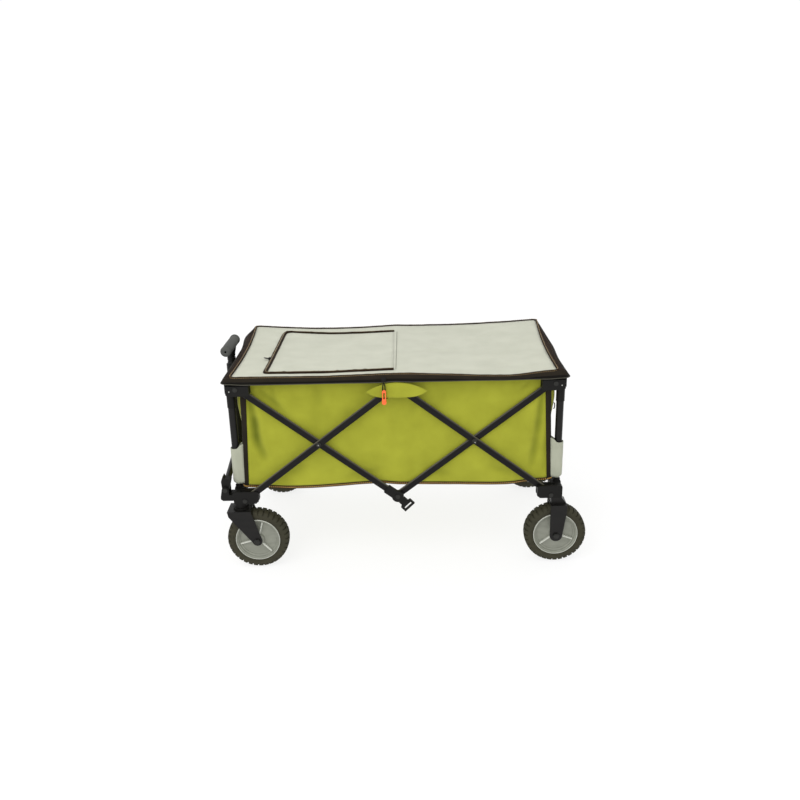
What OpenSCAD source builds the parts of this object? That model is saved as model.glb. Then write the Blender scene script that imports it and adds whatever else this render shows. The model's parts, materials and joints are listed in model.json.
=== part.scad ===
// Folding utility wagon: a fabric tub with a zipped lid, carried by a tube frame whose long
// sides are double scissors, on two swivel casters and two fixed wheels, with a telescoping
// pull handle. The scissors fold the wagon lengthways while the corner posts grow taller.
// X runs from the handle end (-X) to the rear, Y from the near side to the far side, Z up.

/* [Fabric tub and lid] */
// Length of the lid over its padded rim
lid_length = 942; // [930:1:960]
// Width of the lid over its padded rim
lid_width = 538; // [536:1:560]
// Height of the lid's upper face above the ground
lid_top = 592; // [588:1:600]
// Length of the fabric tub outside
tub_length = 850; // [830:1:856]
// Width of the fabric tub outside
tub_width = 464; // [440:1:464]
// Height of the tub's underside above the ground
tub_bottom = 250; // [248:1:270]
// Thickness of the tub's padded fabric
tub_wall = 3; // [2:0.5:4]

/* [Scissor frame] */
// Half the length of the wagon between its corner pivots
pivot_span = 436; // [430:1:438]
// Height of the lower row of pivots
low_pivot = 212; // [210:1:214]
// Height of the upper row of pivots
high_pivot = 546; // [540:1:546]
// Width of a scissor bar
bar_w = 20; // [18:1:20]
// Thickness of a scissor bar
bar_t = 7.4; // [6:0.2:7.4]

/* [Corner posts] */
// Distance of the posts from the wagon's middle, lengthways
post_x = 458; // [456:1:459]
// Distance of the posts from the wagon's middle, crossways
post_y = 219; // [215:1:219]
// Diameter of the sliding upper post
outer_post_d = 21; // [20:1:22]
// Diameter of the fixed lower post
inner_post_d = 15; // [14:1:16]

/* [Wheels] */
// Wheel diameter over the tread
wheel_d = 178; // [170:1:178]
// Tyre width
tyre_w = 44; // [36:1:46]
// Diameter of the moulded hub
hub_d = 126; // [116:1:130]
// Distance of the wheels from the wagon's middle, crossways
wheel_y = 245; // [240:1:248]
// Distance of the casters' stems and the rear forks from the wagon's middle
stem_x = 452; // [448:1:454]
// Distance of the rear axle from the wagon's middle
rear_axle_x = 453; // [450:1:456]
// How far a caster's axle trails behind its swivel stem
caster_trail = 44; // [40:1:48]

/* [Pull handle] */
// Height of the grip's centre with the handle folded up
grip_z = 601; // [598:1:606]
// Length of the grip
grip_l = 150; // [130:1:170]
// Grip diameter
grip_d = 30; // [26:1:32]
// Distance of the handle's pivot from the wagon's middle
handle_pivot_x = 490; // [488:1:492]
// Height of the handle's pivot
handle_pivot_z = 246; // [245:1:248]

/* [Hidden] */
$fn = 64;
// the wagon's middle, placed so that the whole length is centred on the origin
tube_x = 494;
socket_r = 17;
mid_x = (tube_x + socket_r - rear_axle_x - wheel_d / 2) / 2;
// Y centres of the three layers of scissor bars, and the clearances about them
layer_1 = 238.2;
layer_2 = 246.2;
layer_3 = 254.2;
side_gap = 0.7;
head_gap = 0.1;
head_t = 1.6;
head_r = 6.5;
pin_d = 8;
pin_gap = 0.05;
buckle_angle = 46;
cross_tube_d = 22;
rail_d = 20;
rail_z = 536;
// brackets: outer and inner faces in Y, and the inner face of their post sockets
bracket_out = 262;
bracket_in = 233;
socket_in = 203;
low_bracket = [397, 468, 203, 240];
high_bracket = [399, 463, 527, 556];
socket_wall = 2.5;
channel_end = 449;
post_top = 552;
outer_post_low = 300;
collar_low = 482;
collar_high = 526.5;
sleeve_low = 258;
sleeve_high = 364;
sleeve_r = 13;
// caster and fork
fork_top = 184;
plate_t = 3;
fork_half = 30;
axle_z = wheel_d / 2;
axle_d = 10;
// tub, rim and lid
flange_z = 558.8;
rim_low = 560.2;
lid_t = 4;
rim_t = 6;
board_t = 8;
board_panels = 4;
hatch_front = -361;
hatch_back = -0.5;
hatch_near = -224;
hatch_far = 205;
slit = 1.5;
// zip pull
pull_x = -31;
pull_y = -272;
pull_hinge_z = 561;
// handle
arm_reach = 504;
yoke_z = 298;
yoke_low = 266;
yoke_in = 3;
collar_z = 545;
outer_tube_r = 14.5;
middle_tube_r = 12.5;
inner_tube_r = 10;
slide_gap = 0.1;

black = [0.13, 0.13, 0.12];
steel = [0.6, 0.6, 0.58];
rubber = [0.2, 0.2, 0.17];
lime = [0.64, 0.66, 0.2];
warm_grey = [0.8, 0.8, 0.75];

// ---- placing ----

// an end of the wagon: 1 is the rear, -1 the front; shapes are drawn for the rear, far corner
module at_end(end) translate([mid_x, 0, 0]) mirror([end > 0 ? 0 : 1, 0, 0]) children();

module both_sides() {
    children();
    mirror([0, 1, 0]) children();
}

module one_side(far) mirror([0, far ? 0 : 1, 0]) children();

module corners(end) at_end(end) both_sides() children();

// a box from its lowest to its highest corner
module block(low, high) translate(low) cube(high - low);

// a disc or tube on an axis along Y, from y0 to y1
module round_y(x, z, r, y0, y1) translate([x, y0, z]) rotate([-90, 0, 0]) cylinder(h = y1 - y0, r = r);

// an outline in X and Z, extruded from y0 to y1
module slab_y(points, y0, y1)
    translate([0, y1, 0]) rotate([90, 0, 0]) linear_extrude(y1 - y0) polygon(points);

module rounded_rect(l, w, r) {
    square([l - 2 * r, w], center = true);
    square([l, w - 2 * r], center = true);
    for (x = [-1, 1], y = [-1, 1])
        translate([x * (l / 2 - r), y * (w / 2 - r)]) circle(r);
}

module ring_wall(l, w, r, wall, h) linear_extrude(h) difference() {
    rounded_rect(l, w, r);
    rounded_rect(l - 2 * wall, w - 2 * wall, max(1, r - wall));
}

module tube(r, bore, h) difference() {
    cylinder(h = h, r = r);
    translate([0, 0, -1]) cylinder(h = h + 2, r = bore);
}

// ---- scissor bars and their fittings ----

bar_angle = atan2(high_pivot - low_pivot, pivot_span);
bar_length = norm([pivot_span, high_pivot - low_pivot]);

// flat-oval section of a bar, full or as the hollow inside it
module bar_section(shrink) {
    square([bar_w - bar_t, bar_t - 2 * shrink], center = true);
    for (s = [-1, 1]) translate([s * (bar_w - bar_t) / 2, 0]) circle(bar_t / 2 - shrink);
}

module bar_prism(from, to, shrink)
    translate([from, 0, 0]) rotate([0, 90, 0]) linear_extrude(to - from) bar_section(shrink);

// a disc about a pivot, along a bar that lies on X; t is its thickness across the bar
module eye(x, r, t) translate([x, t / 2, 0]) rotate([90, 0, 0]) cylinder(h = t, r = r);

// a bar from its pivot at 0 to its other pivot; a held end stops short, where a hub grips it
held_by = 15;
module bar(held) {
    to = bar_length - (held ? held_by : 0);
    difference() {
        union() {
            bar_prism(0, to, 0);
            eye(0, bar_w / 2, bar_t);
            if (!held) eye(bar_length, bar_w / 2, bar_t);
        }
        bar_prism(14, bar_length / 2 - 10, 1.3);
        bar_prism(bar_length / 2 + 10, to - 14, 1.3);
        for (x = [22, bar_length - 50]) translate([x, 0, -bar_w]) cylinder(h = bar_w, r = 2, $fn = 24);
        for (x = [0, bar_length / 2, bar_length]) eye(x, pin_d / 2 + pin_gap, 3 * bar_t);
    }
}

// stands a bar that is drawn along X in the side of the wagon: rising or falling, from x0
module rising(x0, y) translate([mid_x + x0, y, low_pivot]) rotate([0, -bar_angle, 0]) children();
module falling(x0, y) translate([mid_x + x0, y, high_pivot]) rotate([0, bar_angle, 0]) children();

module scissor_a_front() color(black) both_sides()
    falling(-pivot_span, layer_2) bar(true);

module scissor_b_front() color(black) both_sides()
    rising(-pivot_span, layer_3) bar(true);

module scissor_a_rear() color(black) both_sides()
    rising(0, layer_1) bar(false);

module scissor_b_rear() color(black) both_sides()
    falling(0, layer_2) bar(false);

// a hub caps the end of a front bar and covers the eye of the rear bar behind it; it is drawn
// about the pivot, with the front bar coming in along -X and the wagon's outside towards +Y
hub_r = 17;
upper_hub_r = 12.5;
hub_plate = 3;
hub_out = bar_t / 2 + hub_plate;
module mid_hub(r) difference() {
    union() {
        block([-40, -bar_t / 2, -12.5], [0, hub_out, 12.5]);
        round_y(0, 0, r, -bar_t / 2, hub_out);
    }
    bar_prism(-41, -held_by, 0);
    eye(0, pin_d / 2 + pin_gap, 60);
}

module lower_mid_hubs() color(black) both_sides()
    translate([mid_x, layer_2, low_pivot]) rotate([0, bar_angle, 0]) mid_hub(hub_r);

module upper_mid_hubs() color(black) both_sides()
    translate([mid_x, layer_3, high_pivot]) rotate([0, -bar_angle, 0]) mid_hub(upper_hub_r);

// half of a strap buckle under the near lower hub, with the slot that a strap passes through
module strap_buckle() color(black) mirror([0, 1, 0])
    translate([mid_x, layer_2, low_pivot]) rotate([0, buckle_angle, 0]) difference() {
        union() {
            block([hub_r - 1.5, -3.5, -11], [hub_r + 24.5, 5.5, 11]);
            translate([34, 1, 0]) cube([8, 8, 34], center = true);
            translate([47, 1, 0]) cube([5, 8, 34], center = true);
            for (s = [-1, 1]) translate([40.5, 1, s * 16]) cube([18, 8, 5], center = true);
        }
        eye(0, hub_r + 0.05, 30);
        block([38, -10, -13.5], [44.5, 10, 13.5]);
    }

// a pivot pin with a low head at each end
module pin(x, z, y0, y1) {
    round_y(x, z, pin_d / 2, y0, y1);
    round_y(x, z, head_r, y1, y1 + head_t);
    round_y(x, z, head_r, y0 - head_t, y0);
}

// a pin that comes out of the inner face of the bar in a layer, and ends at y1
module bar_pin(x, z, layer, y1) pin(x, z, layer - bar_t / 2 - head_gap, y1 + head_gap);

module pins_a_front() color(steel) translate([mid_x, 0, 0]) both_sides() {
    bar_pin(-pivot_span, high_pivot, layer_2, bracket_out);
    bar_pin(0, low_pivot, layer_1, layer_2 + hub_out);
}

module pins_b_front() color(steel) translate([mid_x, 0, 0]) both_sides() {
    bar_pin(-pivot_span / 2, (low_pivot + high_pivot) / 2, layer_2, layer_3 + bar_t / 2);
    bar_pin(0, high_pivot, layer_2, layer_3 + hub_out);
}

module pins_a_rear() color(steel) translate([mid_x, 0, 0]) both_sides() {
    bar_pin(pivot_span, high_pivot, layer_1, bracket_out);
    bar_pin(pivot_span / 2, (low_pivot + high_pivot) / 2, layer_1, layer_2 + bar_t / 2);
}

// ---- corner brackets, posts, rails ----

// lower corner: a channel that takes the end of the bar in a layer, and a socket for the post
pin_inside = bracket_in + 2;
module lower_bracket(layer) difference() {
    union() {
        slab_y([[low_bracket[0], 210], [low_bracket[0] + 8, low_bracket[2]], [low_bracket[1] - 3, low_bracket[2]],
            [low_bracket[1], low_bracket[2] + 3], [low_bracket[1], low_bracket[3] - 3],
            [low_bracket[1] - 3, low_bracket[3]], [low_bracket[0] + 3, low_bracket[3]],
            [low_bracket[0], low_bracket[3] - 4]], bracket_in, bracket_out);
        block([436, socket_in, low_bracket[2] + 1], [post_x + inner_post_d / 2 + socket_wall, bracket_in + 1, 241]);
        translate([post_x, post_y, 240]) cylinder(h = 6, r = inner_post_d / 2 + socket_wall);
    }
    block([300, layer - bar_t / 2 - side_gap, 190], [channel_end, layer + bar_t / 2 + side_gap, 250]);
    round_y(pivot_span, low_pivot, pin_d / 2 + pin_gap, 225, 270);
    round_y(pivot_span, low_pivot, head_r + 0.4, pin_inside - head_t - 2, pin_inside);
    translate([post_x, post_y, 206]) cylinder(h = 60, r = inner_post_d / 2 + pin_gap);
}

// upper corner: a channel for the end of the bar in a layer, and a socket that the outer post fills
module upper_bracket(layer) difference() {
    union() {
        slab_y([[high_bracket[0], high_bracket[2] + 3], [high_bracket[0] + 3, high_bracket[2]],
            [high_bracket[1] - 5, high_bracket[2]], [high_bracket[1], high_bracket[2] + 5],
            [high_bracket[1], high_bracket[3]], [high_bracket[0], high_bracket[3]]],
            bracket_in - 0.4, bracket_out);
        block([437, socket_in, high_bracket[2]],
            [post_x + outer_post_d / 2 + socket_wall, bracket_in, high_bracket[3]]);
    }
    block([300, layer - bar_t / 2 - 0.4, 500], [channel_end, layer + bar_t / 2 + side_gap, 570]);
    round_y(pivot_span, high_pivot, pin_d / 2 + pin_gap, 225, 270);
    round_y(pivot_span, high_pivot, head_r + 0.4, layer - bar_t / 2 - 2.4, layer - bar_t / 2);
    translate([post_x, post_y, 520]) cylinder(h = post_top - 520, r = outer_post_d / 2 + pin_gap);
}

module front_lower_brackets() color(black) corners(-1) lower_bracket(layer_3);
module rear_lower_brackets() color(black) corners(1) lower_bracket(layer_2);
module front_upper_brackets() color(black) corners(-1) upper_bracket(layer_2);
module rear_upper_brackets() color(black) corners(1) upper_bracket(layer_1);

module inner_posts(end) corners(end) translate([post_x, post_y, 206]) tube(inner_post_d / 2, inner_post_d / 2 - 1.4, 334);
module outer_posts(end) corners(end) translate([post_x, post_y, outer_post_low])
    tube(outer_post_d / 2, inner_post_d / 2 + 0.8, post_top - outer_post_low);
module post_collars(end) corners(end) translate([post_x, post_y, collar_low])
    tube(outer_post_d / 2 + 1.5, outer_post_d / 2 + pin_gap, collar_high - collar_low);

module front_inner_posts() color(black) inner_posts(-1);
module rear_inner_posts() color(black) inner_posts(1);
module front_outer_posts() color(black) outer_posts(-1);
module rear_outer_posts() color(black) outer_posts(1);
module front_post_collars() color(black) post_collars(-1);
module rear_post_collars() color(black) post_collars(1);

// fabric sleeve about the post, with the tab that is sewn to the tub's corner
module post_sleeves(end) corners(end) translate([post_x, post_y, sleeve_low]) difference() {
    union() {
        cylinder(h = sleeve_high - sleeve_low, r = sleeve_r);
        block([-26, -1.5, 0], [2 - sleeve_r, 1.5, sleeve_high - sleeve_low]);
    }
    translate([0, 0, -1]) cylinder(h = 200, r = outer_post_d / 2 + 0.2);
}

module front_post_sleeves() color(warm_grey) post_sleeves(-1);
module rear_post_sleeves() color(warm_grey) post_sleeves(1);

// a tube across one end of the wagon, between the brackets of its two corners
module end_tube(end, z, d) at_end(end) translate([post_x, -socket_in, z]) rotate([-90, 0, 0])
    tube(d / 2, d / 2 - 1.5, 2 * socket_in);

module front_cross_tube() color(black) end_tube(-1, 218, cross_tube_d);
module rear_cross_tube() color(black) end_tube(1, 218, cross_tube_d);
module front_top_rail() color(black) end_tube(-1, rail_z, rail_d);
module rear_top_rail() color(black) end_tube(1, rail_z, rail_d);

module frame_pins(end) corners(end)
    pin(pivot_span, low_pivot, pin_inside, bracket_out + head_gap);

module rear_frame_pins() color(steel) frame_pins(1);

module front_frame_pins() color(steel) {
    frame_pins(-1);
    corners(-1) pin(handle_pivot_x, handle_pivot_z, 225 - head_gap, bracket_out + head_gap);
}

// arms that carry the handle's pivots in front of the lower brackets
module handle_arms() color(black) corners(-1) difference() {
    union() {
        slab_y([[low_bracket[1], 214], [arm_reach - 6, 214], [arm_reach, 219], [arm_reach, 226],
            [arm_reach - 6, 232], [low_bracket[1], 232]], 225, bracket_out);
        for (ear = [[225, 230.5], [255, bracket_out]]) {
            slab_y([[handle_pivot_x - 10, 226], [arm_reach, 226], [handle_pivot_x + 10, handle_pivot_z],
                [handle_pivot_x - 10, handle_pivot_z]], ear[0], ear[1]);
            round_y(handle_pivot_x, handle_pivot_z, 10, ear[0], ear[1]);
        }
    }
    round_y(handle_pivot_x, handle_pivot_z, pin_d / 2 + pin_gap, 220, 270);
}

// ---- casters and wheels ----

// room for the rounded end of a bar, which reaches just below its lower bracket
module bar_end_room() round_y(pivot_span - stem_x, low_pivot, bar_w / 2 + 0.4, -30, 30);

// housing under a lower bracket that the caster's stem turns in
module caster_bearings() color(black) corners(-1) translate([stem_x, wheel_y, 0]) difference() {
    union() {
        translate([0, 0, fork_top + 0.4]) cylinder(h = 5, r = 22);
        translate([0, 0, fork_top + 5]) cylinder(h = low_bracket[2] - fork_top - 5, r = 17);
    }
    translate([0, 0, fork_top]) cylinder(h = 14, r = 6 + pin_gap);
    bar_end_room();
}

// pressed fork drawn about its stem, with the wheel trailing towards -X by reach
module fork(plate, top, reach) {
    difference() {
        union() {
            for (s = [-1, 1]) translate([0, s * (fork_half - plate_t / 2), 0]) {
                slab_y(plate, -plate_t / 2, plate_t / 2);
                round_y(-reach, axle_z, 14, -plate_t / 2, plate_t / 2);
            }
            block([top[0], -fork_half, fork_top - plate_t], [top[1], fork_half, fork_top]);
        }
        round_y(-reach, axle_z, axle_d / 2 + pin_gap, -50, 50);
    }
}

module caster_fork(far) color(black) at_end(-1) one_side(far) translate([stem_x, wheel_y, 0]) {
    fork([[-31, fork_top], [36, fork_top], [33, 168], [-31, 84], [-57.5, 93]], [-31, 36], caster_trail);
    translate([0, 0, fork_top - 1]) cylinder(h = 14, r = 6);
}

module caster_fork_near() caster_fork(false);
module caster_fork_far() caster_fork(true);

rear_offset = rear_axle_x - stem_x;
module rear_forks() color(black) corners(1) translate([stem_x, wheel_y, 0]) {
    difference() {
        union() {
            for (s = [-1, 1]) translate([0, s * (fork_half - plate_t / 2), 0]) {
                slab_y([[-17, fork_top], [30, fork_top], [29, 160], [rear_offset + 18, 90],
                    [rear_offset - 18, 90]], -plate_t / 2, plate_t / 2);
                round_y(rear_offset, axle_z, 18, -plate_t / 2, plate_t / 2);
            }
            block([-17, -fork_half, fork_top - plate_t], [30, fork_half, fork_top]);
            // neck below the bracket, sloping out behind
            slab_y([[-15, fork_top - 1], [30, fork_top - 1], [16, low_bracket[2]], [-15, low_bracket[2]]], -20, 17);
        }
        round_y(rear_offset, axle_z, axle_d / 2 + pin_gap, -50, 50);
        bar_end_room();
    }
}

// axle bolt with spacers beside the hub, a hexagon head and a nut
module axle() {
    rotate([90, 0, 0]) cylinder(h = 2 * fork_half + 12, r = axle_d / 2, center = true);
    for (s = [0, 1]) mirror([0, s, 0]) {
        round_y(0, 0, 8, tyre_w / 2 + 0.7, fork_half - plate_t - 0.1);
        translate([0, fork_half + 0.1, 0]) rotate([-90, 0, 0]) cylinder(h = 5, r = 9, $fn = 6);
    }
}

module caster_axle(far) color(steel) at_end(-1) one_side(far)
    translate([stem_x - caster_trail, wheel_y, axle_z]) axle();
module caster_axle_near() caster_axle(false);
module caster_axle_far() caster_axle(true);
module rear_axles() color(steel) corners(1) translate([rear_axle_x, wheel_y, axle_z]) axle();

// a wheel part's place: drawn about an axis along Y
module at_wheel(x, far) translate([mid_x + x, far ? wheel_y : -wheel_y, axle_z]) rotate([90, 0, 0]) children();
front_wheel_x = caster_trail - stem_x;

// the tyre's section about its axis: flat sides, a round shoulder and a low crown
module tyre() color(rubber) rotate_extrude($fn = 96) polygon([
    [hub_d / 2 + 0.05, -tyre_w / 2 + 3], [hub_d / 2 + 8, -tyre_w / 2], [wheel_d / 2 - 9, -tyre_w / 2],
    [wheel_d / 2 - 2, -tyre_w / 2 + 5], [wheel_d / 2, -tyre_w / 2 + 10], [wheel_d / 2, tyre_w / 2 - 10],
    [wheel_d / 2 - 2, tyre_w / 2 - 5], [wheel_d / 2 - 9, tyre_w / 2], [hub_d / 2 + 8, tyre_w / 2],
    [hub_d / 2 + 0.05, tyre_w / 2 - 3]]);

module hub() color([0.55, 0.55, 0.5]) difference() {
    union() {
        rotate_extrude($fn = 96) polygon([[4, -22.4], [17, -22.4], [20, -9], [50, -9], [56, -19], [hub_d / 2, -19],
            [hub_d / 2, 19], [56, 19], [50, 9], [20, 9], [17, 22.4], [4, 22.4]]);
        for (i = [0:2], s = [-1, 1])
            rotate([0, 0, 30 + 120 * i]) translate([34, 0, s * 11]) cube([40, 15, 8], center = true);
    }
    cylinder(h = 60, r = axle_d / 2 + pin_gap, center = true);
}

module front_tyre_near() at_wheel(front_wheel_x, false) tyre();
module front_tyre_far() at_wheel(front_wheel_x, true) tyre();
module rear_tyre_near() at_wheel(rear_axle_x, false) tyre();
module rear_tyre_far() at_wheel(rear_axle_x, true) tyre();
module front_hub_near() at_wheel(front_wheel_x, false) hub();
module front_hub_far() at_wheel(front_wheel_x, true) hub();
module rear_hub_near() at_wheel(rear_axle_x, false) hub();
module rear_hub_far() at_wheel(rear_axle_x, true) hub();

// ---- pull handle, folded up against the front ----

block_in = 231;
block_out = 254.5;

// end fittings of the yoke that turn on the arms' pins, each with a small latch hook
module handle_hinge_blocks() color(black) corners(-1) difference() {
    union() {
        translate([handle_pivot_x, 0, handle_pivot_z]) slab_y([[-9.5, 0], [9.5, 0], [11, 24], [9, 31], [5, 41],
            [1, 33], [-14, 31], [-16, 27]], block_in, block_out);
        round_y(handle_pivot_x, handle_pivot_z, 9.7, block_in, block_out);
    }
    round_y(handle_pivot_x, handle_pivot_z, pin_d / 2 + pin_gap, 220, 270);
}

yoke_run = norm([block_in, yoke_z - yoke_low]);
yoke_tilt = atan2(yoke_z - yoke_low, block_in);
yoke_turn = atan2(tube_x - handle_pivot_x + yoke_in, block_in);

// two tubes that rise gently from the hinge blocks to a socket for the handle's tube
module handle_yoke() color(black) at_end(-1) difference() {
    union() {
        both_sides() difference() {
            translate([tube_x, 0, yoke_z]) rotate([0, 0, yoke_turn]) rotate([-90 - yoke_tilt, 0, 0])
                cylinder(h = yoke_run + 10, r = 9);
            block([400, block_in, 200], [600, 300, 400]);
        }
        translate([tube_x, 0, yoke_z - 16]) cylinder(h = 34, r = socket_r);
    }
    translate([tube_x, 0, 290]) cylinder(h = 60, r = outer_tube_r + pin_gap);
}

module handle_outer_tube() color(black) at_end(-1) translate([tube_x, 0, 290])
    tube(outer_tube_r, middle_tube_r + slide_gap, collar_z - 5 - 290);

module handle_collar() color(black) at_end(-1) translate([tube_x, 0, 505]) difference() {
    cylinder(h = collar_z - 505, r = 16.5);
    translate([0, 0, -1]) cylinder(h = collar_z - 504 - 5, r = outer_tube_r + pin_gap);
    cylinder(h = 60, r = middle_tube_r + slide_gap);
}

module handle_middle_tube() color(black) at_end(-1) translate([tube_x, 0, 300]) difference() {
    cylinder(h = 253, r = middle_tube_r);
    translate([0, 0, -1]) cylinder(h = 260, r = inner_tube_r + slide_gap);
}

module handle_inner_tube() color(black) at_end(-1) translate([tube_x, 0, 306]) tube(inner_tube_r, 8.6, grip_z - 8 - 306);

module handle_grip() color([0.38, 0.38, 0.36]) at_end(-1) translate([tube_x, 0, grip_z]) difference() {
    union() {
        round_y(0, 0, grip_d / 2, 8 - grip_l / 2, grip_l / 2 - 8);
        both_sides() translate([0, grip_l / 2 - 8, 0]) rotate([-90, 0, 0]) rotate_extrude() difference() {
            translate([0, -8]) square([grip_d / 2 + 0.8, 16]);
            translate([grip_d / 2 + 0.8, 8]) rotate(45) square(6, center = true);
            translate([-5, -9]) square([5, 20]);
        }
        translate([0, 0, -45]) cylinder(h = 40, r = 12);
    }
    translate([0, 0, -60]) cylinder(h = 52, r = inner_tube_r + pin_gap);
}

// ---- fabric tub, lid and their zips ----

flange_l = lid_length - 6;
flange_w = lid_width - 6;

// a box of padded fabric, open above, with a flange that is sewn to the lid's rim
module tub() color(lime) translate([mid_x, 0, 0]) difference() {
    union() {
        translate([0, 0, tub_bottom]) linear_extrude(rim_low - tub_bottom) rounded_rect(tub_length, tub_width, 12);
        translate([0, 0, flange_z]) linear_extrude(rim_low - flange_z) rounded_rect(flange_l, flange_w, 14);
    }
    translate([0, 0, tub_bottom + tub_wall]) linear_extrude(400)
        rounded_rect(tub_length - 2 * tub_wall, tub_width - 2 * tub_wall, 9);
}

// padded boards that stiffen the floor and fold like a book
module floor_board() color(black) translate([mid_x, 0, tub_bottom + tub_wall + 0.3]) {
    pitch = (tub_length - 20) / board_panels;
    for (i = [0:board_panels - 1])
        translate([(i - board_panels / 2 + 0.5) * pitch, 0, 0]) linear_extrude(board_t)
            rounded_rect(pitch - 4, tub_width - 20, 8);
}

module rim_band() color(black) translate([mid_x, 0, rim_low])
    ring_wall(lid_length, lid_width, 16, rim_t, lid_top - 2 - rim_low);

module hatch_shape(grow) translate([hatch_front - grow, hatch_near - grow])
    square([hatch_back - hatch_front + 2 * grow, hatch_far - hatch_near + 2 * grow]);

module lid_panel() color(warm_grey) translate([mid_x, 0, lid_top - lid_t]) linear_extrude(lid_t) difference() {
    rounded_rect(lid_length - 2 * rim_t - 1, lid_width - 2 * rim_t - 1, 10);
    hatch_shape(slit);
    // the gap in which the slider of the hatch's zip sits
    translate([hatch_front - 12.5, -138.5]) square([12.5, 39]);
}

module hatch_panel() color(warm_grey) translate([mid_x, 0, lid_top - lid_t]) linear_extrude(lid_t) hatch_shape(0);

// fabric half-moons that hang from the flange over the upper middle joints
module mid_flaps() color(lime) translate([mid_x, 0, 0]) both_sides() intersection() {
    round_y(-3.5, 590, 80, bracket_out + 1.2, bracket_out + 4);
    block([-100, 250, 500], [100, 280, flange_z - 0.2]);
}

// slider of the rim's zip, and of the hatch's zip with its pull tab
module zip_sliders() color(black) translate([mid_x, 0, 0]) {
    block([pull_x - 7, -lid_width / 2 - 4.5, pull_hinge_z + 2.5], [pull_x + 7, -lid_width / 2 - 0.2, 577]);
    block([hatch_front - 12, -112, lid_top - 3], [hatch_front - 3, -100, lid_top + 4]);
    block([hatch_front - 11, -138, lid_top + 0.6], [hatch_front - 4, -111, lid_top + 2.8]);
}

module pull_cord() color(black) translate([mid_x + pull_x, pull_y - 1, 0]) {
    translate([0, 0, 536]) cylinder(h = pull_hinge_z - 536, r = 2, $fn = 24);
    translate([-5, 0, pull_hinge_z]) rotate([0, 90, 0]) cylinder(h = 10, r = 2.2, $fn = 24);
}

module zip_pull() color([0.94, 0.47, 0.2]) translate([mid_x + pull_x, pull_y - 1, 0]) difference() {
    union() {
        block([-9, -3, 500], [9, 3, 536]);
        round_y(0, 501, 10, -3.8, 3.8);
        round_y(0, 535.5, 9, -3, 3);
    }
    block([-3.5, -10, 514], [3.5, 10, 531]);
    translate([0, 0, 530]) cylinder(h = 20, r = 2.05, $fn = 24);
}

front_cross_tube();
front_lower_brackets();
handle_arms();
front_inner_posts();
front_frame_pins();
caster_bearings();
caster_fork_near();
caster_axle_near();
caster_fork_far();
caster_axle_far();
front_tyre_near();
front_hub_near();
front_tyre_far();
front_hub_far();
rear_tyre_near();
rear_hub_near();
rear_tyre_far();
rear_hub_far();
rear_cross_tube();
rear_lower_brackets();
rear_inner_posts();
rear_forks();
rear_axles();
rear_frame_pins();
front_outer_posts();
front_post_collars();
front_upper_brackets();
front_top_rail();
front_post_sleeves();
rear_outer_posts();
rear_post_collars();
rear_upper_brackets();
rear_top_rail();
rear_post_sleeves();
scissor_a_front();
scissor_b_front();
scissor_a_rear();
scissor_b_rear();
pins_a_front();
pins_b_front();
pins_a_rear();
lower_mid_hubs();
upper_mid_hubs();
strap_buckle();
handle_yoke();
handle_hinge_blocks();
handle_outer_tube();
handle_collar();
handle_middle_tube();
handle_inner_tube();
handle_grip();
tub();
floor_board();
rim_band();
lid_panel();
mid_flaps();
zip_sliders();
hatch_panel();
pull_cord();
zip_pull();
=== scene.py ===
"""Looks of the folding wagon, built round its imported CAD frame.

Lengths in this script are millimetres, X is measured from the wagon's middle towards its rear,
Y away from the camera and Z up. place() turns them into the row frame's metres.
"""

import json
import math

import bpy
from mathutils import Matrix, Vector, noise


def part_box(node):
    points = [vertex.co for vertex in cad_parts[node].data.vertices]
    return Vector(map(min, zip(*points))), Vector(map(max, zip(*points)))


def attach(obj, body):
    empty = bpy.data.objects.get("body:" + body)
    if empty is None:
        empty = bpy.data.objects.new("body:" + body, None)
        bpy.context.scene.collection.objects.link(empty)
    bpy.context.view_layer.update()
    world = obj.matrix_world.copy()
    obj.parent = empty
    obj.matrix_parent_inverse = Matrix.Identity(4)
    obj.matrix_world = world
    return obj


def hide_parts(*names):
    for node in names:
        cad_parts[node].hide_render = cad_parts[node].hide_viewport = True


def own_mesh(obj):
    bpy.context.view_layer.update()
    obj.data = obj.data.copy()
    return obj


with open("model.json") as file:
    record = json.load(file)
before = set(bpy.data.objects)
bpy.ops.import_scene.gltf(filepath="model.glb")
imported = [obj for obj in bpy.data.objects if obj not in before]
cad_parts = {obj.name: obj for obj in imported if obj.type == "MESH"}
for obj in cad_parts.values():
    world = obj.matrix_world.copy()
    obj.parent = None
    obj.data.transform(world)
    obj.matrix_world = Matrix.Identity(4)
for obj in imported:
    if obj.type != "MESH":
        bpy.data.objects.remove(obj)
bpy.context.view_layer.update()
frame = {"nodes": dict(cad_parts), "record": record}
scene = bpy.context.scene


# ---- sizes, taken from the CAD nodes ----

def node_box(name):
    low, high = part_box(name)
    return low * 1000, high * 1000


rim_box = node_box("rim_band")
MIDDLE = (rim_box[0].x + rim_box[1].x) / 2
RIM_X = (rim_box[1].x - rim_box[0].x) / 2
RIM_Y = rim_box[1].y
board_box = node_box("floor_board")
WALL_X = (board_box[1].x - board_box[0].x) / 2 + 12
WALL_Y = board_box[1].y + 10
WALL_R = 12
TUB_LOW = node_box("tub")[0].z
FLANGE_Z = node_box("tub")[1].z - 2.2
hatch_box = node_box("hatch_panel")
HATCH_FRONT = hatch_box[0].x - MIDDLE + 3
HATCH_NEAR = hatch_box[0].y
HINGE_X = hatch_box[1].x - MIDDLE - 3
post_box = node_box("rear_outer_posts")
POST_X = (post_box[0].x + post_box[1].x) / 2 - MIDDLE
POST_Y = post_box[1].y - (post_box[1].x - post_box[0].x) / 2
LID_HALF_Y = 263
FLOOR_Z = 251
ENDS = (("front", -1), ("rear", 1))
SIDES = (("near", -1), ("far", 1))


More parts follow.
